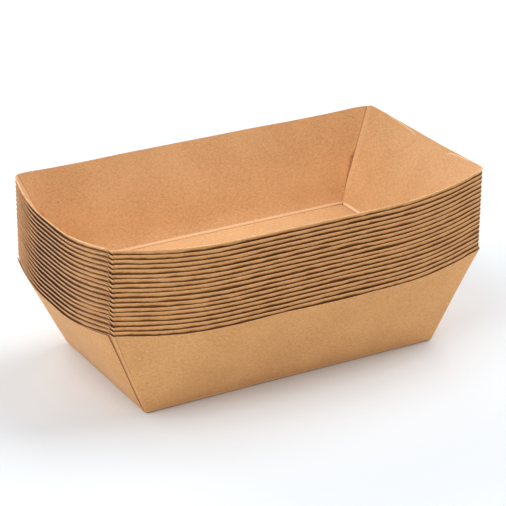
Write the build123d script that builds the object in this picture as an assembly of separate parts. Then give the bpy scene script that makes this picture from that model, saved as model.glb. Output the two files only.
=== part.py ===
from build123d import *
import os
from math import atan2, hypot, sin

# A stack of nested food trays. Each tray is one blank of kraft board: a floor, two long walls that
# each turn a corner into two glue flaps, and two end panels glued over the flaps from outside.
# Each wall is flat in its middle. Beside that it curls inward along rulings that fan out from the
# floor corner, so the rim bows out and the fold at the floor stays straight.
# X runs along the trays, Y across them, and Z is up. The origin is under the middle of the stack.

# The board and the number of trays
board = 0.41
tray_count = 19

# The floor, and the rim at its four corners, to the outside of the board
floor_length = 158.0
floor_width = 85.0
rim_length = 200.0
rim_width = 102.0
corner_height = 48.8

# How far the middle of each top edge stands out from its corners, and dips below them
long_bow = 9.2
long_dip = 4.5
end_bow = 5.8
end_dip = 4.4

# Length of the curled shoulder beside each corner, as a share of half the wall's rim, and of the
# part of the top edge that rises to the corner
long_shoulder_share = 0.7
end_shoulder_share = 0.93
long_rise_share = 0.56
end_rise_share = 0.9

# Outside radius of the corner fold at the rim, and the end panel's cut edge beside that corner
corner_fold_radius = 2.0
seam_inset = 1.7

# A glue flap: its reach from the corner, how far its two tip corners lie below the tray's corner,
# and how much of the upper one is cut off
flap_reach = 36.6
flap_tip_top = 5.3
flap_tip_bottom = 11.5
flap_tip_cut = 2.2

# The flap's lower edge, as shares of its length and of the height of its tip
flap_edge_shares = ((0.18, 0.13), (0.36, 0.46), (0.66, 0.85))

# Number of flat steps in each shoulder, corner fold and rise of the top edge
long_steps = 4
end_steps = 3
fold_steps = 2
long_rise_steps = 3
end_rise_steps = 3

# Room between one tray and the next beside the corners of their rims, and the overrun of cutters
nest_gap = 0.104
overrun = 4.0

# Half sizes of the tray
half_floor_x = floor_length / 2
half_floor_y = floor_width / 2
half_rim_x = rim_length / 2
half_rim_y = rim_width / 2

# Length of each shoulder along the rim
long_shoulder = half_rim_x * long_shoulder_share
end_shoulder = half_rim_y * end_shoulder_share

# Run of the flat middle of each wall, from the floor to the height of the tray's corners
long_run = (half_rim_y + long_bow - half_floor_y) * corner_height / (corner_height - long_dip)
end_run = (half_rim_x + end_bow - half_floor_x) * corner_height / (corner_height - end_dip)

# Width of one board, measured level
long_width = board / sin(atan2(corner_height, long_run))
end_width = board / sin(atan2(corner_height, end_run))

# Reach of the cutters
cutter_top = corner_height + overrun
cutter_ceiling = cutter_top + overrun
cutter_half_x = half_floor_x + end_run + overrun
cutter_half_y = half_floor_y + long_run + overrun


def arc_radius(shoulder, bulge):
    """Radius of an arc that leaves a straight line and stands off it by bulge at its end."""
    return (shoulder**2 + bulge**2) / (2 * bulge)


def long_arc(layers):
    """Centre and radius of a long wall's shoulder, set in by layers of board."""
    middle = half_floor_y + long_run
    radius = arc_radius(long_shoulder, middle - half_rim_y)
    return Vector(half_rim_x - long_shoulder, middle - radius), radius - long_width * layers


def end_arc(layers):
    """Centre and radius of an end's shoulder, set in by layers of board."""
    middle = half_floor_x + end_run
    radius = arc_radius(end_shoulder, middle - half_rim_x)
    return Vector(middle - radius, half_rim_y - end_shoulder), radius - end_width * layers


def rim_corner(end_layers, long_layers):
    """The corner of the rim's plan, where the two shoulders cross."""
    end_centre, end_radius = end_arc(end_layers)
    long_centre, long_radius = long_arc(long_layers)
    between = long_centre - end_centre
    along = (end_radius**2 - long_radius**2 + between.length**2) / (2 * between.length)
    aside = (end_radius**2 - along**2) ** 0.5
    unit = between.normalized()
    return end_centre + unit * along + unit.rotate(Axis.Z, 90) * aside


def shoulder_points(centre, start, end, steps):
    """Points along an arc from start towards end, in equal turns, without its end."""
    turn = (start - centre).get_signed_angle(end - centre, Axis.Z.direction)
    return [centre + (start - centre).rotate(Axis.Z, turn * step / steps) for step in range(steps)]


def folded_corner(before, corner, after, radius):
    """Points of a corner folded to a radius, between the last points of its two shoulders."""
    if radius == 0:
        return [corner]
    fold = FilletPolyline(before, corner, after, radius=radius).edges()[1]
    return [fold @ (step / fold_steps) for step in range(fold_steps + 1)]


def rim_quarter(end_layers, long_layers, fold_radius):
    """Plan of a quarter of the rim, from the middle of a long wall to the middle of an end."""
    long_centre, long_radius = long_arc(long_layers)
    end_centre, end_radius = end_arc(end_layers)
    corner = rim_corner(end_layers, long_layers)
    long_start = long_centre + Vector(0, long_radius)
    end_start = end_centre + Vector(end_radius, 0)
    long_points = shoulder_points(long_centre, long_start, corner, long_steps)
    end_points = shoulder_points(end_centre, end_start, corner, end_steps)
    fold_points = folded_corner(long_points[-1], corner, end_points[-1], fold_radius)
    long_middle = Vector(0, long_start.Y)
    end_middle = Vector(end_start.X, 0)
    return [long_middle, *long_points, *fold_points, *reversed(end_points), end_middle]


def mirrored_quarters(points):
    """A quarter's points mirrored into all four, in order round the tray."""
    quarters = []
    for sign_x, sign_y in ((1, 1), (1, -1), (-1, -1), (-1, 1)):
        quarter = [Vector(point.X * sign_x, point.Y * sign_y, point.Z) for point in points]
        quarters.append(quarter if sign_x == sign_y else quarter[::-1])
    return quarters


def flat_face(points):
    """A flat face through these points."""
    return Face(Wire.make_polygon(points))


def walls_block(end_layers, long_layers, fold_radius=0):
    """A solid with the tray's walls for sides, set in by layers of board, up to the cutters' top."""
    foot = Vector(half_floor_x - end_width * end_layers, half_floor_y - long_width * long_layers)
    rise = Vector(0, 0, corner_height)
    rim = [point + rise for point in rim_quarter(end_layers, long_layers, fold_radius)]
    raised = [foot + (point - foot) * (cutter_top / corner_height) for point in rim]
    raised[0] = Vector(0, raised[0].Y, cutter_top)
    raised[-1] = Vector(raised[-1].X, 0, cutter_top)
    feet = [quarter[0] for quarter in mirrored_quarters([foot])]
    quarters = mirrored_quarters(raised)
    outline = [point for quarter in quarters for point in quarter[:-1]]
    faces = [flat_face(feet), flat_face(outline)]
    for index, (start_foot, quarter) in enumerate(zip(feet, quarters)):
        next_foot = feet[(index + 1) % len(feet)]
        faces += [flat_face([start_foot, start, end]) for start, end in zip(quarter, quarter[1:])]
        faces.append(flat_face([start_foot, quarter[-1], next_foot]))
    return Solid(Shell(faces)).clean()


def above_floor(block):
    """The part of a block that stands on the tray's floor."""
    centred_below = (Align.CENTER, Align.CENTER, Align.MAX)
    slab = Box(cutter_half_x * 2, cutter_half_y * 2, overrun, align=centred_below)
    return block - Pos(0, 0, board) * slab


def cutter_through_ends(outline):
    """A cutter along the whole tray, from an outline seen from the end."""
    return extrude(Plane.YZ * outline, amount=cutter_half_x, both=True)


def cutter_through_sides(outline):
    """A cutter across the whole tray, from an outline seen from the side."""
    return extrude(Plane.XZ * outline, amount=cutter_half_y, both=True)


def mirrored_outline(points):
    """A closed outline from its right half."""
    left_points = [Vector(-point.X, point.Y) for point in reversed(points)]
    return make_face(Polyline(*points, *left_points, close=True))


def beside_corner(distance, height):
    """A point of an end wall, seen from the end, by its distance from the leaning corner."""
    lean = (rim_corner(1, 0).Y - half_floor_y) * height / corner_height
    return Vector(half_floor_y + lean - distance, height)


def end_panels():
    """The two end panels with all that lies between them, trimmed at the seams."""
    seam = [beside_corner(seam_inset, 0), beside_corner(seam_inset, cutter_ceiling)]
    return walls_block(0, 0) & cutter_through_ends(mirrored_outline(seam))


def flap_edge():
    """The free edge of a flap, seen from the end, from the floor round its tip to the rim."""
    root = seam_inset + board
    tip_bottom = corner_height - flap_tip_bottom
    tip_top = corner_height - flap_tip_top
    points = [beside_corner(root, board)]
    for along_share, up_share in flap_edge_shares:
        height = board + (tip_bottom - board) * up_share
        points.append(beside_corner(root + (flap_reach - root) * along_share, height))
    points.append(beside_corner(flap_reach, tip_bottom))
    points.append(beside_corner(flap_reach, tip_top - flap_tip_cut))
    points.append(beside_corner(flap_reach - flap_tip_cut, tip_top))
    points.append(beside_corner(root, corner_height))
    return points


def between_flaps():
    """The space between the flaps, as far as the inner faces of the end panels."""
    edge = flap_edge()
    outline = mirrored_outline([*edge, Vector(edge[-1].X, cutter_ceiling)])
    return above_floor(walls_block(1, 2)) & cutter_through_ends(outline)


def above_rim(half_length, rise_share, dip, steps, beyond):
    """Outline of the space above two opposite top edges, seen square on. Each edge is straight in
    its middle and rises in an arc to the corner."""
    rise = half_length * rise_share
    low = corner_height - dip
    start = Vector(half_length - rise, low)
    corner = Vector(half_length, corner_height)
    arc = shoulder_points(start + Vector(0, arc_radius(rise, dip)), start, corner, steps)
    side = [Vector(beyond, corner_height), Vector(beyond, cutter_ceiling)]
    return mirrored_outline([*arc, corner, *side])


def one_tray():
    """One folded and glued tray, standing on the ground."""
    side_walls = walls_block(1, 0, corner_fold_radius)
    hollow = above_floor(walls_block(2, 1))
    tray = end_panels() + side_walls - hollow - between_flaps()
    long_top = above_rim(half_rim_x, long_rise_share, long_dip, long_rise_steps, cutter_half_x)
    end_top = above_rim(half_rim_y, end_rise_share, end_dip, end_rise_steps, cutter_half_y)
    return tray - cutter_through_sides(long_top) - cutter_through_ends(end_top)


def nesting_pitch(beside, layers, width):
    """Height from one tray to the next for which this many boards fit between their walls, in the
    steepest part of the wall, beside the corner."""
    foot = Vector(half_floor_x, half_floor_y)
    rise = Vector(0, 0, corner_height)
    normal = (rim_corner(0, 0) + rise - foot).cross(beside + rise - foot).normalized()
    return (width * layers * hypot(normal.X, normal.Y) + nest_gap) / abs(normal.Z)


def stack_pitch():
    """Height from one tray to the next: the long walls hold one board, the ends hold two."""
    rim = rim_quarter(0, 0, 0)
    corner_index = rim.index(rim_corner(0, 0))
    long_pitch = nesting_pitch(rim[corner_index - 1], 1, long_width)
    end_pitch = nesting_pitch(rim[corner_index + 1], 2, end_width)
    return max(long_pitch, end_pitch)


os.makedirs("parts", exist_ok=True)
tray = one_tray()
pitch = stack_pitch()
for index in range(tray_count):
    export_step(Pos(0, 0, pitch * index) * tray, f"parts/tray_{index + 1:02d}.step")
stack_height = tray.bounding_box().size.Z + pitch * (tray_count - 1)
print(f"pitch {pitch:.3f} mm, stack height {stack_height:.2f} mm")
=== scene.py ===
import math

import bmesh
import bpy
from mathutils import Matrix, Vector, noise


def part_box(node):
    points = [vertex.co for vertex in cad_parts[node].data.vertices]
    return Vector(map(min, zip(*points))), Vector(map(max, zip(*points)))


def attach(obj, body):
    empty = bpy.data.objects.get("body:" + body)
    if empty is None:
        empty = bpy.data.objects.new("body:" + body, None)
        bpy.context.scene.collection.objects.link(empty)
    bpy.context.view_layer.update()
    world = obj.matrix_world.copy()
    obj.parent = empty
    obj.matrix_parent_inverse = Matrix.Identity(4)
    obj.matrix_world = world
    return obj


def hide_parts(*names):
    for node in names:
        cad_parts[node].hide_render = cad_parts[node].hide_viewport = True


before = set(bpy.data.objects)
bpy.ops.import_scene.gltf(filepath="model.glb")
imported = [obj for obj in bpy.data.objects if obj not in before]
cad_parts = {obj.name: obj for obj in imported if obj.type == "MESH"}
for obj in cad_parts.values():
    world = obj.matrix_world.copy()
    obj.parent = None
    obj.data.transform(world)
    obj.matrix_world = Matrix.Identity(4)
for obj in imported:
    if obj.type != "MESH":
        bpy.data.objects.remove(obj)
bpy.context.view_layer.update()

# One tray, in millimetres, to the outside of the board
trayShape = {
    "board": 0.41,
    "floorX": 79.0,  # half the floor's length
    "floorY": 42.5,
    "rimX": 100.0,  # half the rim's length at its corners
    "rimY": 51.0,
    "height": 48.8,  # of the corners
    "longBow": 9.2,  # how far the middle of the long rim stands out from the corners
    "longDip": 4.5,  # and how far it dips below them
    "endBow": 5.8,
    "endDip": 4.4,
    "longShoulder": 70.0,  # the curled part beside each corner
    "endShoulder": 47.43,
    "longRise": 56.0,  # the part of the top edge that rises to each corner
    "endRise": 45.9,
    "rimTrim": 0.25,  # the tops are cut square to the board, so the inner edge stands higher
    "gluedLayers": 1.05,  # boards from an end panel's outside to a flap's outside
    "topBand": 0.9,  # width of the band under a top edge that is pale with wear and painted highlight
    "bandShare": 0.2,  # the most of a sheet's height that this band or the crease takes up
}

# The crease round the floor
floorCrease = {
    "run": 1.2,  # its width on the floor
    "rise": 1.5,  # and up the wall
    "bead": 0.3,  # how far it stands proud inside
    "calmRun": 30.0,  # it fades along a long wall this near to the corner
    "cornerTurn": 0.7,  # how far its bead turns inward along the wall at the corner
    # From the floor up the wall: place, share of the bead, and wear with painted highlight, which below
    # nought is painted shade in the groove beside the bead
    "steps": (
        (0.0, 0.0, 0.0), (0.14, 0.0, -1.0), (0.3, 0.0, -1.0), (0.4, 0.4, 0.2),
        (0.55, 1.0, 1.0), (0.8, 0.8, 1.0), (1.0, 0.0, 0.0),
    ),
}

# How many steps the sheets of faces have, and how much closer their rows stand near the top
meshSteps = {"middle": 12, "shoulder": 12, "fold": 4, "flap": 15, "panel": 34, "rise": 9}
riseEasing = 1.6

tiny = 0.01  # millimetres, within which two places count as one

# How often a value is worked out again until it has settled
cornerRounds = 30
heightRounds = 4

# Half the floor, inside its creases
insideX = trayShape["floorX"] - floorCrease["run"]
insideY = trayShape["floorY"] - floorCrease["run"]


def arcRadius(shoulder, bulge):
    return (shoulder ** 2 + bulge ** 2) / (2 * bulge)


def wallPlan(kind, layers):
    # The plan of a wall's rim at the corners' height: flat in the middle, then an arc
    size = trayShape
    long = kind == "long"
    rimAlong, rimAcross = (size["rimX"], size["rimY"]) if long else (size["rimY"], size["rimX"])
    foot = size["floorY"] if long else size["floorX"]
    dip = size[kind + "Dip"]
    rise = size[kind + "Rise"]
    run = (rimAcross + size[kind + "Bow"] - foot) * size["height"] / (size["height"] - dip)
    radius = arcRadius(size[kind + "Shoulder"], foot + run - rimAcross)
    inset = layers * size["board"] * math.hypot(run, size["height"]) / size["height"]
    return {
        "start": rimAlong - size[kind + "Shoulder"],
        "centre": foot + run - radius,
        "radius": radius - inset,
        "middle": foot + run - inset,
        "foot": foot - inset,
        "dip": dip,
        "riseStart": rimAlong - rise,
        "rise": rise,
        "riseRadius": arcRadius(rise, dip),
    }


def planOffset(plan, along):
    # How far out the rim's plan is, at a place along the wall
    past = abs(along) - plan["start"]
    if past <= 0:
        return plan["middle"]
    return plan["centre"] + math.sqrt(plan["radius"] ** 2 - past ** 2)


def rimHeight(plan, along):
    # The top edge is straight in its middle and rises in an arc to the corner, seen square on
    low = trayShape["height"] - plan["dip"] - trayShape["rimTrim"]
    past = min(max(abs(along) - plan["riseStart"], 0), plan["rise"])
    return low + plan["riseRadius"] - math.sqrt(plan["riseRadius"] ** 2 - past ** 2)


def settledHeight(plan, alongAt):
    # Where a leaning line, whose place along the wall is known at each height, meets the top edge
    high = trayShape["height"]
    for step in range(heightRounds):
        high = rimHeight(plan, alongAt(high))
    return high


longPlan = wallPlan("long", 0)
endPlan = wallPlan("end", 0)
flapPlan = wallPlan("end", trayShape["gluedLayers"])


def planCorner():
    # Where the long wall's plan crosses the flap's
    x = trayShape["rimX"]
    for step in range(cornerRounds):
        y = planOffset(longPlan, x)
        x = planOffset(flapPlan, y)
    return Vector((x, y, 0))


corner = planCorner()
cornerLean = corner.y - trayShape["floorY"]


def fanPoint(plan, sideways, height):
    # A point of an end wall or flap at the given place across the tray. Its rulings fan out
    # from the floor's corner, and between the two fans it is flat
    share = height / trayShape["height"]
    foot = trayShape["floorY"]
    rimSideways = foot + (abs(sideways) - foot) / max(share, 1e-6)
    reach = plan["middle"] if rimSideways < plan["start"] else planOffset(plan, rimSideways)
    return Vector((plan["foot"] + (reach - plan["foot"]) * share, sideways, height))


def smoothLine(points, along):
    # A curve through given points, read at a place along it
    for index in range(len(points) - 1):
        start, end = points[index], points[index + 1]
        if along <= end[0] or index == len(points) - 2:
            break
    before = points[max(index - 1, 0)]
    after = points[min(index + 2, len(points) - 1)]
    span = end[0] - start[0]
    startSlope = (end[1] - before[1]) / (end[0] - before[0])
    endSlope = (after[1] - start[1]) / (after[0] - start[0])
    t = min(max((along - start[0]) / span, 0.0), 1.0)
    return (
        start[1] * (2 * t ** 3 - 3 * t ** 2 + 1) + end[1] * (3 * t ** 2 - 2 * t ** 3)
        + span * (startSlope * (t ** 3 - 2 * t ** 2 + t) + endSlope * (t ** 3 - t ** 2))
    )


def bentThrough(start, middle, end, t):
    # A point of the curve that leaves its start and meets its end along lines through the middle
    return start * (1 - t) ** 2 + middle * (2 * t * (1 - t)) + end * t ** 2


def easeOut(t, power):
    return 1 - (1 - t) ** power


# The fold of each corner
cornerFold = {
    "reach": 0.5,  # from the corner to where its fold starts, at the rim
    "drop": 0.8,  # how much the rim is rounded off at the fold
    "dropRun": 2.5,
    "bead": 0.2,  # how far the fold stands proud inside
    "beadWay": (-0.7, -0.7, 0.0),  # the way inward from the corner
    "beadRise": 6.0,  # height from which the bead is full
    "wearAndShading": 0.4,  # pale wear and painted highlight on the flap's side of the fold
    # Beside the fold: distance, share of the bead, and wear with painted highlight, which below nought is
    # painted shade on the wall's side of the fold
    "wallBead": ((0.7, 0.0, 0.0), (0.45, 0.35, -0.5), (0.22, 0.85, -1.0), (0.0, 1.0, 0.0)),
    "flapBead": ((0.7, 0.85, 0.2), (1.4, 0.35, 0.3), (2.2, 0.0, 0.0)),
}


def cornerDrop(past):
    # How much the rim is rounded off at a distance from the fold
    return cornerFold["drop"] * max(1 - past / cornerFold["dropRun"], 0) ** 2


class Column:
    # One line of points up a sheet, from its foot or lower edge to its top edge
    def __init__(self, straight, sheet, low, high, bead=(0.0, 0.0)):
        self.straight = straight  # point at a height
        self.sheet = sheet  # place in the flat blank at a height
        self.low = low
        self.high = high
        self.bead, self.wearAndShading = bead  # share of the corner fold's bead, and its wear with painted highlight, painted shade below nought
        self.topWearAndHighlight = self.wearAndShading  # wear and painted highlight at the top edge
        self.pressed = lambda height: 0.0  # share of the board pressed away at a height
        self.gloom = 1.0  # how soon the shade below the rim begins
        self.floorPoint = None  # where the crease starts on the floor, if there is one

    def startAt(self, floorPoint, inward, calm=1.0):
        # Gives the column a crease at its foot, with a share of the crease's bead
        self.floorPoint = floorPoint
        self.inward = inward.normalized()
        self.calm = calm
        return self

    def beadShare(self, height):
        return min(max(height / cornerFold["beadRise"], 0), 1)

    def place(self, height):
        proud = Vector(cornerFold["beadWay"]) * self.bead * self.beadShare(height) * cornerFold["bead"]
        return self.straight(height) + proud

    def entry(self, height):
        # What a point of the sheet carries: place, place in the blank, wear with painted highlight and
        # shade, pressing and depth
        wearAndLight = self.topWearAndHighlight if height == self.high else self.wearAndShading * self.beadShare(height)
        depth = (self.high - height) * self.gloom
        return self.place(height), self.sheet(height), wearAndLight, self.pressed(height), depth

    def creasePoints(self, first):
        foot, after = self.place(self.low), self.place(first)
        for step, bead, wearAndShading in floorCrease["steps"]:
            if self.floorPoint is None:
                yield self.entry(self.low + (first - self.low) * step)
                continue
            bend = bentThrough(self.floorPoint, foot, after, step)
            bend += self.inward * bead * self.calm * floorCrease["bead"]
            start, end = self.sheet(self.low - floorCrease["run"]), self.sheet(first)
            yield bend, start.lerp(end, step), wearAndShading * self.calm, 0.0, self.high

    def points(self):
        most = trayShape["bandShare"]
        first = self.low + min(floorCrease["rise"], (self.high - self.low) * most)
        top = self.high - min(trayShape["topBand"], (self.high - first) * most)
        yield from self.creasePoints(first)
        for step in range(1, meshSteps["rise"] + 1):
            yield self.entry(first + (top - first) * easeOut(step / meshSteps["rise"], riseEasing))
        yield self.entry(self.high)


def wallColumn(foot, rim, bead=(0.0, 0.0)):
    # A straight ruling of a long wall from the floor to the rim
    size = trayShape
    slant = (rim - foot).length / size["height"]

    def place(height):
        return foot + (rim - foot) * (height / size["height"])

    def sheet(height):
        return Vector((place(max(height, 0)).x, foot.y + height * slant, 0))

    high = settledHeight(longPlan, lambda height: place(height).x)
    high -= cornerDrop(max(corner.x - cornerFold["reach"] - rim.x, 0))
    return Column(place, sheet, 0.0, high, bead)


# A glue flap, by distances from the leaning corner
glueFlap = {
    "gap": 0.1,  # from the end of the corner's fold to the flap
    "reach": 36.6,
    "top": 43.4,  # height of its upper tip corner
    "tipCut": 2.2,  # how far from the tip its corners are rounded
    "tipFall": 1.3,  # how far the upper one falls, as a share of that
    "tipLift": 1.6,  # how far the lower one rises
    # Its free lower edge: distance and height
    "edge": (
        (0.35, 0.4), (3.2, 1.4), (8.3, 5.6), (14.5, 17.3),
        (20.0, 26.2), (24.9, 31.7), (31.0, 35.6), (36.6, 39.0),
    ),
    "pressed": 0.9,  # share of its thickness that its free edge has lost in the glue press
    "pressedRun": 3.0,
    "pressedFrom": 6.0,  # distance from which the lower edge is fully pressed
    "topPaleFrom": 12.0,  # where its top edge begins to show pale wear and painted highlight
    "topPaleRun": 6.0,
    "slant": 1.04,  # length of its board for its height
    "easing": 1.5,  # how much closer its columns stand towards the tip
}


def flapColumn(distance, bead=(0.0, 0.0)):
    # A line up a glue flap, at a distance from the leaning corner
    size, flap = trayShape, glueFlap
    root = flap["edge"][0][0]
    tipStart = flap["reach"] - flap["tipCut"]
    top = rimHeight(longPlan, size["rimX"])
    slope = (flap["top"] - top) / (tipStart - root)
    low = smoothLine(flap["edge"], distance)
    high = top + slope * (distance - root) - cornerDrop(distance - root)
    cut = max(distance - tipStart, 0) / flap["tipCut"]
    high -= flap["tipCut"] * (1 - math.sqrt(max(1 - cut ** 2, 0))) * flap["tipFall"]
    low += flap["tipLift"] * cut ** 3

    def place(height):
        lean = cornerLean * height / size["height"]
        return fanPoint(flapPlan, size["floorY"] + lean - distance, height)

    def sheet(height):
        return Vector((place(height).x + distance, size["floorY"] + height * flap["slant"], 0))

    def pressed(height):
        # The lower edge and the tip are pressed thin, but not at the corner itself
        run = flap["pressedRun"]
        below = max(1 - (height - low) / run, 0) * min(distance / flap["pressedFrom"], 1)
        beyond = max(1 - (flap["reach"] - distance) / run, 0)
        return max(below, beyond) * flap["pressed"]

    column = Column(place, sheet, low, high, bead)
    column.pressed = pressed
    column.topWearAndHighlight = min(max(distance - flap["topPaleFrom"], 0) / flap["topPaleRun"], 1)
    return column


def flapColumns(root):
    # The columns of a flap, from its root beside the fold to its tip
    columns = [flapColumn(root + after, (bead, wearAndShading)) for after, bead, wearAndShading in cornerFold["flapBead"]]
    root += cornerFold["flapBead"][-1][0]
    for step in range(1, meshSteps["flap"] + 1):
        share = easeOut(step / meshSteps["flap"], glueFlap["easing"])
        columns.append(flapColumn(root + (glueFlap["reach"] - root) * share))
    return columns


def sideColumns():
    # One side of the tray from the middle round to the tip of a flap
    size = trayShape
    rise = Vector((0, 0, size["height"]))
    half = []
    for step in range(meshSteps["middle"] + 1):
        t = step / meshSteps["middle"]
        foot = Vector((flapPlan["foot"] * t, size["floorY"], 0))
        rim = Vector((longPlan["start"] * t, longPlan["middle"], 0)) + rise
        inward = Vector((-floorCrease["cornerTurn"] * (t == 1), -1, 1))
        half.append(wallColumn(foot, rim).startAt(Vector((insideX * t, insideY, 0)), inward))
    foot = Vector((flapPlan["foot"], size["floorY"], 0))
    apex = Vector((insideX, insideY, 0))
    inward = Vector((-1, -1, 1))
    reach = cornerFold["reach"]
    foldStart = corner.x - reach
    shoulderEnd = foldStart - cornerFold["wallBead"][0][0]
    places = []
    for step in range(1, meshSteps["shoulder"] + 1):
        x = longPlan["start"] + (shoulderEnd - longPlan["start"]) * step / meshSteps["shoulder"]
        places.append((x, (0.0, 0.0)))
    places += [(foldStart - before, (bead, wearAndShading)) for before, bead, wearAndShading in cornerFold["wallBead"][1:]]
    for x, bead in places:
        rim = Vector((x, planOffset(longPlan, x), 0)) + rise
        calm = min((corner.x - x) / floorCrease["calmRun"], 1)
        half.append(wallColumn(foot, rim, bead).startAt(apex, inward, calm))
    start = Vector((foldStart, planOffset(longPlan, foldStart), 0))
    end = Vector((planOffset(flapPlan, corner.y - reach), corner.y - reach, 0))
    for step in range(1, meshSteps["fold"] + 1):
        t = step / meshSteps["fold"]
        rim = bentThrough(start, corner, end, t) + rise
        half.append(wallColumn(foot, rim, (1.0, t * cornerFold["wearAndShading"])).startAt(apex, inward, 0.0))
    return half + flapColumns(reach + glueFlap["gap"])


# An end panel
endPanel = {
    "seamInset": 1.7,  # from the corner to its cut edge
    "drop": 0.6,  # share of the corner's drop that its rim has at the seam
    "gloom": 1.5,  # how much sooner the shade below its rim begins near the corners
    "gloomFrom": 0.55,  # share of its half width where that sets in
    "slant": 1.15,  # length of its board for its height
    "crowding": 0.35,  # how much closer its columns stand near the seams
}
seamFoot = trayShape["floorY"] - endPanel["seamInset"]  # where the seam meets the floor, across the tray


def panelColumn(share):
    # A line up an end panel, at a share of its half width
    size = trayShape

    def place(height):
        return fanPoint(endPlan, share * (seamFoot + cornerLean * height / size["height"]), height)

    def sheet(height):
        return Vector((size["floorX"] + height * endPanel["slant"], place(max(height, 0)).y, 0))

    high = settledHeight(endPlan, lambda height: place(height).y)
    high -= cornerDrop((1 - abs(share)) * (seamFoot + cornerLean)) * endPanel["drop"]
    column = Column(place, sheet, 0.0, high)
    column.gloom = 1 + endPanel["gloom"] * max(abs(share) - endPanel["gloomFrom"], 0)
    floorPoint = Vector((insideX, share * seamFoot * insideY / size["floorY"], 0))
    return column.startAt(floorPoint, Vector((-1, 0, 1)))


def fillSheet(bm, grid, mirrorX=False, mirrorY=False):
    # Shapes a flat grid of faces into rows of given points, with the outside outwards
    layers = bm.verts.layers
    coordinate, crease = layers.float_vector["sheet"], layers.float["crease"]
    pressed, fromRim = layers.float["pressed"], layers.float["fromRim"]
    made = bmesh.ops.create_grid(bm, x_segments=len(grid) - 1, y_segments=len(grid[0]) - 1, size=1.0)
    flips = Vector((-1 if mirrorX else 1, -1 if mirrorY else 1, 1))
    for vert in made["verts"]:
        column = round((vert.co.x + 1) / 2 * (len(grid) - 1))
        row = round((vert.co.y + 1) / 2 * (len(grid[0]) - 1))
        place, sheet, wearAndLight, thin, depth = grid[column][row]
        vert.co = place * flips
        vert[coordinate] = sheet * flips
        vert[crease] = wearAndLight
        vert[pressed] = thin
        vert[fromRim] = depth
    faces = list({face for vert in made["verts"] for face in vert.link_faces})
    inside = Vector((0, 0, trayShape["height"]))
    outwards = 0
    for face in faces:
        face.normal_update()
        outwards += face.normal.dot(face.calc_center_median() - inside) * face.calc_area()
    if outwards < 0:
        bmesh.ops.reverse_faces(bm, faces=faces)


def mirrored(entry):
    flips = Vector((-1, 1, 1))
    return (entry[0] * flips, entry[1] * flips) + entry[2:]


def traySheet(bm):
    # The whole blank, folded: two side walls with their flaps, two end panels, and the floor
    half = [list(column.points()) for column in sideColumns()]
    whole = [[mirrored(entry) for entry in column] for column in reversed(half[1:])] + half
    fillSheet(bm, whole)
    fillSheet(bm, whole, mirrorY=True)

    crowding = endPanel["crowding"]
    shares = [step / meshSteps["panel"] * 2 - 1 for step in range(meshSteps["panel"] + 1)]
    shares = [math.sin(share * math.pi / 2) * crowding + share * (1 - crowding) for share in shares]
    panel = [list(panelColumn(share).points()) for share in shares]
    fillSheet(bm, panel)
    fillSheet(bm, panel, mirrorX=True)

    columns = [step / meshSteps["middle"] - 1 for step in range(2 * meshSteps["middle"] + 1)]
    rows = [-1] + [share * seamFoot / trayShape["floorY"] for share in shares] + [1]
    plain = (0.0, 0.0, trayShape["height"])
    floor = []
    for x in columns:
        places = [Vector((insideX * x, insideY * y, 0)) for y in rows]
        floor.append([(place, place, *plain) for place in places])
    fillSheet(bm, floor)


# How unevenly the trays sit in each other, in millimetres, and the lengths of the waves
unevenness = {
    "longSway": 0.2,  # slow sway of the long rims, out and in
    "longWave": 46.0,
    "endSway": 0.12,
    "endWave": 30.0,
    "ripple": 0.08,  # shorter waves at the very rim
    "rippleWave": 17.0,
    "cutSway": 0.6,  # waves of the cut edge, up and down
    "cutWave": 34.0,
    "cutRipple": 0.24,
    "cutRippleWave": 9.0,
    "cornerShare": 0.6,  # share of the cut edge's waves that the corners have
    "gain": 1.6,  # the noise seldom comes near 1, so the sways are made this much larger
    "onset": 4.0,  # an end is at its full sway past one part in this many of its slope
    "lift": 0.65,  # how far the lowest tray's end panels stand off at the top of their seams
    "liftFrom": 30.0,  # place across the tray where that begins
    "liftRun": 22.0,
    "seedStep": 7.31,  # how far apart the trays read the noise, and then its kinds
    "longSeed": 11.0,
    "rippleSeed": 23.0,
    "endSeed": 37.0,
    "cutSeed": 3,
    "cutRippleSeed": 5,
    "swayPower": 1.5,  # how fast each grows towards the rim
    "ripplePower": 3,
    "cutPower": 4,
    "liftPower": 2,
    "near": 0.2,  # a point this near to the lowest tray's end panels belongs to them
}


def drift(x, y, z):
    return noise.noise(Vector((x, y, z)))


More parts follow.
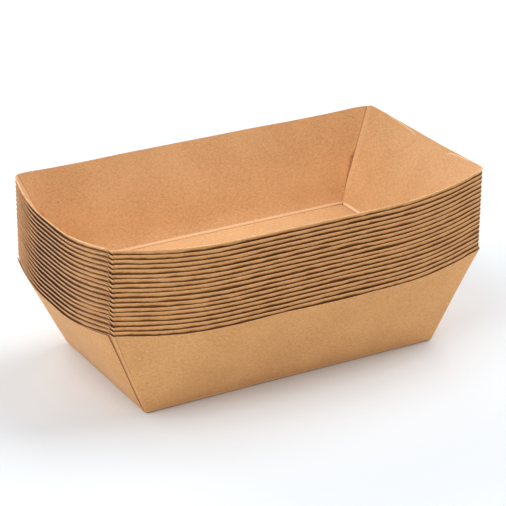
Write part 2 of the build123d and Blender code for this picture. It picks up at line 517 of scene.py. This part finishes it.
def swayTray(bm, index, count):
    # Small unevenness, so the rims don't lie in perfect order
    size, amount = trayShape, unevenness
    seed = index * amount["seedStep"]
    for vert in bm.verts:
        place = vert.co
        share = min(max(place.z / size["height"], 0), 1)
        alongX = place.x / size["rimX"]
        alongY = place.y / size["rimY"]
        sideX = 1 if place.x > 0 else -1
        sideY = 1 if place.y > 0 else -1
        onEnd = max(abs(place.x) - size["floorX"], 0) / (endPlan["middle"] - size["floorX"])
        onEnd = min(onEnd * amount["onset"], 1)
        longWindow = max(1 - alongX ** 2, 0) * (abs(place.y) > size["floorY"] - tiny)
        endWindow = max(1 - alongY ** 2, 0) * onEnd
        sway = drift(place.x / amount["longWave"], seed, sideY * amount["longSeed"]) * amount["longSway"]
        ripple = drift(place.x / amount["rippleWave"], seed, sideY * amount["rippleSeed"])
        sway += ripple * amount["ripple"] * share ** amount["ripplePower"]
        place.y += sideY * sway * amount["gain"] * longWindow * share ** amount["swayPower"]
        sway = drift(place.y / amount["endWave"], seed, sideX * amount["endSeed"]) * amount["endSway"]
        place.x += sideX * sway * amount["gain"] * endWindow * share ** amount["swayPower"]
        if index < count - 1:
            length, cutSeed = amount["cutWave"], seed * amount["cutSeed"]
            wave = drift(place.x / length, place.y / length, cutSeed) * amount["cutSway"]
            length, cutSeed = amount["cutRippleWave"], seed * amount["cutRippleSeed"]
            wave += drift(place.x / length, place.y / length, cutSeed) * amount["cutRipple"]
            beside = amount["cornerShare"]
            window = beside + (1 - beside) * max(longWindow, endWindow)
            place.z += wave * share ** amount["cutPower"] * window
        if index == 0:
            liftedShare = max(abs(place.y) - amount["liftFrom"], 0) / amount["liftRun"]
            onPanel = abs(place.y) < seamFoot + cornerLean * share + amount["near"]
            onOutside = abs(place.x) > fanPoint(endPlan, place.y, max(place.z, tiny)).x - amount["near"]
            if onPanel and onOutside:
                lifted = liftedShare * share ** amount["liftPower"] * onEnd
                place.x += sideX * lifted * amount["lift"]


# The point of the floor's corner, where the creases meet and the inside is drawn to the outside
floorCorner = {
    "reach": 1.5,
    "height": 1.3,
    "inward": 0.24,  # from the outside to the inside
    "upward": 0.33,
}


def thickenSheet(bm, index, count):
    # Gives the sheet the board's thickness, inwards, and returns the points of its outside
    size, layers = trayShape, bm.verts.layers
    pressed, twin = layers.float["pressed"], layers.int["twin"]
    nested, covered = layers.float["nested"], layers.float["covered"]
    outer = list(bm.verts)
    for number, vert in enumerate(outer):
        vert[twin] = number
    bmesh.ops.solidify(bm, geom=list(bm.faces), thickness=size["board"])
    outside = set(outer)
    nearX = size["floorX"] - floorCorner["reach"]
    nearY = size["floorY"] - floorCorner["reach"]
    for vert in bm.verts:
        if vert in outside:
            vert[nested] = float(index > 0)  # its outside lies in the tray below, and takes the painted shade below each rim
            continue
        vert[covered] = float(index < count - 1)  # its inside holds the tray above, so its cut edge takes painted shade
        skin = outer[vert[twin]].co
        if abs(skin.x) > nearX and abs(skin.y) > nearY and skin.z < floorCorner["height"]:
            inwardX = math.copysign(floorCorner["inward"], -skin.x)
            inwardY = math.copysign(floorCorner["inward"], -skin.y)
            vert.co = skin + Vector((inwardX, inwardY, floorCorner["upward"]))
        elif vert[pressed] > 0:
            vert.co = vert.co.lerp(skin, vert[pressed])
    return outside


blankStep = (0.311, 0.173)  # metres of the pattern from one tray to the next
perMetre = 1000
thinBoard = 0.5  # an edge that has lost more of its thickness shows no cut


def dressFaces(bm, index, outside):
    # The flat blank is the UV map, in metres, and each tray has its own part of the pattern
    coordinate, pressed = bm.verts.layers.float_vector["sheet"], bm.verts.layers.float["pressed"]
    flat = bm.loops.layers.uv.new("flatBlank")
    shiftX, shiftY = [index * step for step in blankStep]
    for face in bm.faces:
        face.smooth = True
        isCut = 0 < sum(vert in outside for vert in face.verts) < len(face.verts)
        isThick = max(vert[pressed] for vert in face.verts) <= thinBoard
        face.material_index = int(isCut and isThick)
        for loop in face.loops:
            sheet = loop.vert[coordinate]
            loop[flat].uv = (sheet.x / perMetre + shiftX, sheet.y / perMetre + shiftY)
        if isCut:
            for edge in face.edges:
                if (edge.verts[0] in outside) == (edge.verts[1] in outside):
                    edge.smooth = False


def linkedObject(name, bm):
    # A finished bmesh as an object of the scene
    mesh = bpy.data.meshes.new(name)
    bm.to_mesh(mesh)
    bm.free()
    made = bpy.data.objects.new(name, mesh)
    bpy.context.scene.collection.objects.link(made)
    return made


def foodTray(index, count, pitch):
    bm = bmesh.new()
    layers = bm.verts.layers
    layers.float_vector.new("sheet")  # place in the flat blank
    for name in ("crease", "pressed", "fromRim", "nested", "covered"):
        layers.float.new(name)
    layers.int.new("twin")  # the point of the outside that a point of the inside belongs to
    traySheet(bm)
    swayTray(bm, index, count)
    bmesh.ops.remove_doubles(bm, verts=bm.verts, dist=2 * tiny)
    bmesh.ops.dissolve_degenerate(bm, edges=bm.edges, dist=tiny)
    outside = thickenSheet(bm, index, count)
    dressFaces(bm, index, outside)
    bmesh.ops.scale(bm, vec=Vector((1, 1, 1)) / perMetre, verts=bm.verts)
    bmesh.ops.translate(bm, vec=Vector((0, 0, pitch * index)), verts=bm.verts)
    return linkedObject(f"foodTray{index + 1:02d}", bm)


class Wire:
    # A node's output that can be used in sums
    def __init__(self, paint, socket):
        self.paint = paint
        self.socket = socket

    def __add__(self, other):
        return self.paint.sum("ADD", self, other)

    def __radd__(self, other):
        return self.paint.sum("ADD", other, self)

    def __sub__(self, other):
        return self.paint.sum("SUBTRACT", self, other)

    def __rsub__(self, other):
        return self.paint.sum("SUBTRACT", other, self)

    def __mul__(self, other):
        return self.paint.sum("MULTIPLY", self, other)

    def __rmul__(self, other):
        return self.paint.sum("MULTIPLY", other, self)


class Paint:
    # The nodes of a material or of the world
    def __init__(self, owner):
        owner.use_nodes = True
        self.owner = owner
        self.tree = owner.node_tree
        self.tree.nodes.clear()

    def node(self, kind, settings=None, output=0, **inputs):
        # Inputs go by name, or by number after an underscore
        made = self.tree.nodes.new("ShaderNode" + kind)
        for name, value in (settings or {}).items():
            setattr(made, name, value)
        for name, value in inputs.items():
            key = int(name[1:]) if name[0] == "_" else name.replace("_", " ")
            if isinstance(value, Wire):
                self.tree.links.new(value.socket, made.inputs[key])
            else:
                made.inputs[key].default_value = value
        return Wire(self, made.outputs[output])

    def sum(self, operation, first, second):
        return self.node("Math", {"operation": operation}, _0=first, _1=second)

    def spread(self, value, low, high):
        # 0 below low, 1 above high, smooth between
        smooth = {"interpolation_type": "SMOOTHSTEP"}
        return self.node("MapRange", smooth, Value=value, From_Min=low, From_Max=high)

    def mix(self, factor, first, second):
        return self.node("Mix", {"data_type": "RGBA"}, 2, _0=factor, _6=first, _7=second)

    def attribute(self, name):
        return self.node("Attribute", {"attribute_name": name}, 2)

    def speckle(self, vector, scale, detail=3.0, roughness=0.55):
        return self.node("TexNoise", None, Vector=vector, Scale=scale, Detail=detail, Roughness=roughness)

    def turned(self, vector, angle, stretch):
        return self.node("Mapping", None, Vector=vector, Rotation=(0, 0, math.radians(angle)), Scale=stretch)

    def seen(self):
        # 1 where a ray shows the background: straight, in gloss or through glass
        rays = ("Camera", "Glossy", "Transmission")
        straight, gloss, through = [self.node("LightPath", None, f"Is {ray} Ray") for ray in rays]
        return straight + gloss + through

    def finish(self, surface, kind="Material"):
        output = self.tree.nodes.new("ShaderNodeOutput" + kind)
        self.tree.links.new(surface.socket, output.inputs["Surface"])
        return self.owner


# Kraft board: pulp mottle, long fibres both pale and dark, creases pale with wear and painted highlight
# beside painted shade, and painted shade down the pile
kraft = {
    "base": (0.72, 0.411, 0.191, 1),
    "dark": (0.57, 0.305, 0.132, 1),
    "pale": (0.83, 0.508, 0.262, 1),
    "darkFibre": (0.4, 0.19, 0.078, 1),
    "paleFibre": (0.9, 0.625, 0.38, 1),
    "rimShade": (0.43, 0.19, 0.062, 1),  # painted shade below each rim of the pile, deepening down each band
    "creviceShade": (0.17, 0.062, 0.015, 1),  # painted shade in the crevice between one tray's rim and the next
    "baseShare": 0.45,  # how much of the base colour covers the mottle
    "cloudScale": 38.0,  # wide clouds, mottle and grain in the pulp, per metre
    "mottleScale": 800.0,
    "grainScale": 2600.0,
    "mottleShare": 0.55,
    "cloudShare": 0.3,
    "grainShare": 0.15,
    "toneFrom": 0.36,  # from the dark board to the pale one
    "toneTo": 0.64,
    "paleFibres": ((24, 1, 0.64), (-61, 5, 0.65)),  # angle, seed, and how sparse they are
    "darkFibres": ((71, 9, 0.655), (-12, 14, 0.65)),
    "fibreScale": 1500.0,  # per metre, and a little more with each seed
    "fibreSeedScale": 37.0,
    "fibreStretch": (0.22, 1.6, 1),
    "fibreSoft": 0.07,
    "bendScale": 260.0,  # they bend this often per metre, and by this much of one
    "bend": (0.0016, 0.0016, 0),
    "paleShare": 0.32,
    "darkShare": 0.4,
    "wearAndShading": 0.9,  # how pale the ridges are with wear and painted highlight, and the amounts of that and of mottle between which it shows
    "paleRidgeFrom": (0.05, 0.8),
    "paleRidgeMottle": (0.15, 0.45),
    "grooveShade": 0.9,  # how dark the painted shade in the grooves is, and likewise
    "grooveShadeFrom": (0.1, 0.8),
    "shade": 0.6,  # how much of the shade covers the board
    "shadeFrom": 0.1,  # in millimetres below the rim
    "creviceShadeFrom": 1.25,
    "creviceShadeTo": 1.85,
    "shadeScale": 95.0,  # the shade's lower edge wanders this often per metre, and this far
    "shadeWander": 2.4,
    "bump": 0.35,
    "bumpDepth": 0.00006,
    "roughness": 0.75,
    "roughGrain": 0.12,
    "specular": 0.2,
    "sheen": 0.08,
}


def fibres(paint, flat, angle, seed, thin):
    # Thin streaks that lie one way, bent a little
    plane = {"noise_dimensions": "2D"}
    bend = paint.node("TexNoise", plane, 1, Vector=flat, Scale=kraft["bendScale"] + seed, Detail=1.0)
    bent = paint.node("VectorMath", {"operation": "MULTIPLY_ADD"}, _0=bend, _1=kraft["bend"], _2=flat)
    along = paint.turned(bent, angle, kraft["fibreStretch"])
    scale = kraft["fibreScale"] + seed * kraft["fibreSeedScale"]
    lines = paint.node("TexNoise", plane, Vector=along, Scale=scale, Detail=1.5, Roughness=0.5)
    return paint.spread(lines, thin, thin + kraft["fibreSoft"])


def crossedFibres(paint, flat, kinds):
    first, second = [fibres(paint, flat, *kind) for kind in kinds]
    return first + second


def kraftBoard():
    paint = Paint(bpy.data.materials.new("kraftBoard"))
    flat = paint.node("UVMap", {"uv_map": "flatBlank"})
    clouds = paint.speckle(flat, kraft["cloudScale"])
    mottle = paint.speckle(flat, kraft["mottleScale"], 4.0, 0.62)
    grain = paint.speckle(flat, kraft["grainScale"], 2.0)
    tone = mottle * kraft["mottleShare"] + clouds * kraft["cloudShare"] + grain * kraft["grainShare"]
    tone = paint.spread(tone, kraft["toneFrom"], kraft["toneTo"])
    colour = paint.mix(tone, kraft["dark"], kraft["pale"])
    colour = paint.mix(kraft["baseShare"], colour, kraft["base"])
    pale = crossedFibres(paint, flat, kraft["paleFibres"])
    dark = crossedFibres(paint, flat, kraft["darkFibres"])
    colour = paint.mix(pale * kraft["paleShare"], colour, kraft["paleFibre"])
    colour = paint.mix(dark * kraft["darkShare"], colour, kraft["darkFibre"])

    # Creases: pale with wear and a painted highlight on the lit side of each bead, and painted shade in the
    # groove beside it
    crease = paint.attribute("crease")
    wearAndLight = paint.spread(crease, *kraft["paleRidgeFrom"]) * paint.spread(mottle, *kraft["paleRidgeMottle"])
    colour = paint.mix(wearAndLight * kraft["wearAndShading"], colour, kraft["paleFibre"])
    grooveShade = paint.spread(0.0 - crease, *kraft["grooveShadeFrom"])
    colour = paint.mix(grooveShade * kraft["grooveShade"], colour, kraft["darkFibre"])

    # Painted shade below each rim of the pile, deepening into the crevice between one tray and the next
    nested = paint.attribute("nested")
    wander = paint.speckle(flat, kraft["shadeScale"], 2.0)
    depth = paint.attribute("fromRim") + (wander - 0.5) * kraft["shadeWander"]
    shade = nested * paint.spread(depth, kraft["shadeFrom"], kraft["creviceShadeTo"])
    colour = paint.mix(shade * kraft["shade"], colour, kraft["rimShade"])
    creviceShade = nested * paint.spread(depth, kraft["creviceShadeFrom"], kraft["creviceShadeTo"])
    colour = paint.mix(creviceShade, colour, kraft["creviceShade"])

    height = mottle * 0.5 + grain * 0.5 + pale * 0.35
    bump = paint.node("Bump", None, Strength=kraft["bump"], Distance=kraft["bumpDepth"], Height=height)
    rough = kraft["roughness"] + (0.5 - grain) * kraft["roughGrain"]
    board = paint.node(
        "BsdfPrincipled", None, Base_Color=colour, Roughness=rough, Normal=bump,
        Specular_IOR_Level=kraft["specular"], Sheen_Weight=kraft["sheen"],
    )
    return paint.finish(board)


# The cut edges of the board, with painted shade on them inside the pile
cutBoard = {
    "pale": (0.94, 0.61, 0.34, 1),
    "dark": (0.62, 0.32, 0.135, 1),
    "grainScale": 2600.0,
    "grainShare": 0.7,
    "cloudScale": 120.0,
    "cloudShare": 0.3,
    "toneFrom": 0.4,
    "toneTo": 0.62,
    "pileShadeWander": 0.6,  # how unevenly the painted shade inside the pile begins
    "pileShadeFrom": 0.35,
    "pileShadeTo": 0.65,
    "bump": 0.5,
    "bumpDepth": 0.00008,
    "roughness": 0.9,
}


def cutEdge():
    paint = Paint(bpy.data.materials.new("cutBoardEdge"))
    look = cutBoard
    flat = paint.node("UVMap", {"uv_map": "flatBlank"})
    place = paint.node("TexCoord", None, "Object")
    grain = paint.speckle(place, look["grainScale"], 3.0, 0.6)
    clouds = paint.speckle(flat, look["cloudScale"], 2.0)
    tone = paint.spread(
        grain * look["grainShare"] + clouds * look["cloudShare"], look["toneFrom"], look["toneTo"],
    )
    colour = paint.mix(tone, look["dark"], look["pale"])
    # Painted shade on the inner half of each cut edge that holds the tray above
    covered = paint.attribute("covered") + (clouds - 0.5) * look["pileShadeWander"]
    covered = paint.spread(covered, look["pileShadeFrom"], look["pileShadeTo"])
    colour = paint.mix(covered, colour, kraft["creviceShade"])
    bump = paint.node("Bump", None, Strength=look["bump"], Distance=look["bumpDepth"], Height=grain)
    edge = paint.node("BsdfPrincipled", None, Base_Color=colour, Roughness=look["roughness"], Normal=bump)
    return paint.finish(edge)


boardPaint = kraftBoard()
edgePaint = cutEdge()
print("materials made")

nodeNames = sorted(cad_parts)
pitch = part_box(nodeNames[1])[0].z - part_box(nodeNames[0])[0].z
for index, name in enumerate(nodeNames):
    tray = foodTray(index, len(nodeNames), pitch)
    tray.data.materials.append(boardPaint)
    tray.data.materials.append(edgePaint)
    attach(tray, "root")
    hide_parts(name)
print(f"{len(nodeNames)} trays made, {len(tray.data.polygons)} faces each")

# A plain white table, lit from both sides and from behind
studio = {
    "halfTable": 4.0,
    "tableDrop": 0.00005,  # how far it lies below the lowest tray
    "tableSeen": (0.78, 0.82, 0.856, 1),
    "tableBounce": (0.8, 0.71, 0.55, 1),  # what the trays see of it, warmed by the board itself
    "sky": 0.3,
    "lamps": {  # irradiance, spread in degrees, and where it comes from
        "rightLamp": (0.6, 50, (1.0, 0.1, 1.2)),
        "leftLamp": (0.5, 50, (-1.0, -0.1, 1.2)),
        "frontLamp": (0.16, 60, (-0.1, -1.0, 0.2)),
        "backLamp": (0.8, 60, (0.0, 1.0, 0.2)),
    },
}


def tablePaint():
    paint = Paint(bpy.data.materials.new("whiteTable"))
    colour = paint.mix(paint.seen(), studio["tableBounce"], studio["tableSeen"])
    top = paint.node("BsdfDiffuse", None, Color=colour)
    return paint.finish(top)


def whiteTable():
    bm = bmesh.new()
    bmesh.ops.create_grid(bm, x_segments=1, y_segments=1, size=studio["halfTable"])
    bmesh.ops.translate(bm, vec=Vector((0, 0, -studio["tableDrop"])), verts=bm.verts)
    made = linkedObject("whiteTable", bm)
    made.data.materials.append(tablePaint())
    return made


def studioSky():
    paint = Paint(bpy.data.worlds.new("studioSky"))
    white = (1, 1, 1, 1)
    lampSky = paint.node("Background", None, Color=white, Strength=studio["sky"])
    whiteSky = paint.node("Background", None, Color=white, Strength=1.0)
    eitherSky = paint.node("MixShader", None, _0=paint.seen(), _1=lampSky, _2=whiteSky)
    return paint.finish(eitherSky, "World")


def sunLamp(name, strength, spread, fromWhere):
    lamp = bpy.data.lights.new(name, "SUN")
    lamp.energy = strength
    lamp.angle = math.radians(spread)
    shining = bpy.data.objects.new(name, lamp)
    shining.rotation_euler = Vector(fromWhere).to_track_quat("Z", "Y").to_euler()
    bpy.context.scene.collection.objects.link(shining)


table = whiteTable()
bpy.context.scene.world = studioSky()
for name, (strength, spread, fromWhere) in studio["lamps"].items():
    sunLamp(name, strength * math.pi, spread, fromWhere)
print("studio made")

# The photograph's viewpoint
cameraView = {
    "turn": 0.52089,  # radians from straight in front towards the left
    "rise": 0.4186,
    "distance": 1.04676,
    "target": (0.00174, 0.00009, 0.04714),
    "roll": 0.00624,
    "lens": 153.87,
    "sensor": 36.0,
}


def photoCamera():
    turn, rise, roll = cameraView["turn"], cameraView["rise"], cameraView["roll"]
    back = Vector((-math.sin(turn) * math.cos(rise), -math.cos(turn) * math.cos(rise), math.sin(rise)))
    level = (-back).cross(Vector((0, 0, 1))).normalized()
    upright = level.cross(-back)
    right = level * math.cos(roll) + upright * math.sin(roll)
    up = upright * math.cos(roll) - level * math.sin(roll)
    place = Vector(cameraView["target"]) + back * cameraView["distance"]
    lens = bpy.data.cameras.new("photoCamera")
    lens.lens = cameraView["lens"]
    lens.sensor_width = cameraView["sensor"]
    camera = bpy.data.objects.new("photoCamera", lens)
    camera.matrix_world = Matrix((
        (right.x, up.x, back.x, place.x),
        (right.y, up.y, back.y, place.y),
        (right.z, up.z, back.z, place.z),
        (0, 0, 0, 1),
    ))
    bpy.context.scene.collection.objects.link(camera)
    return camera


bpy.context.scene.camera = photoCamera()
bpy.context.scene.view_settings.view_transform = "Standard"
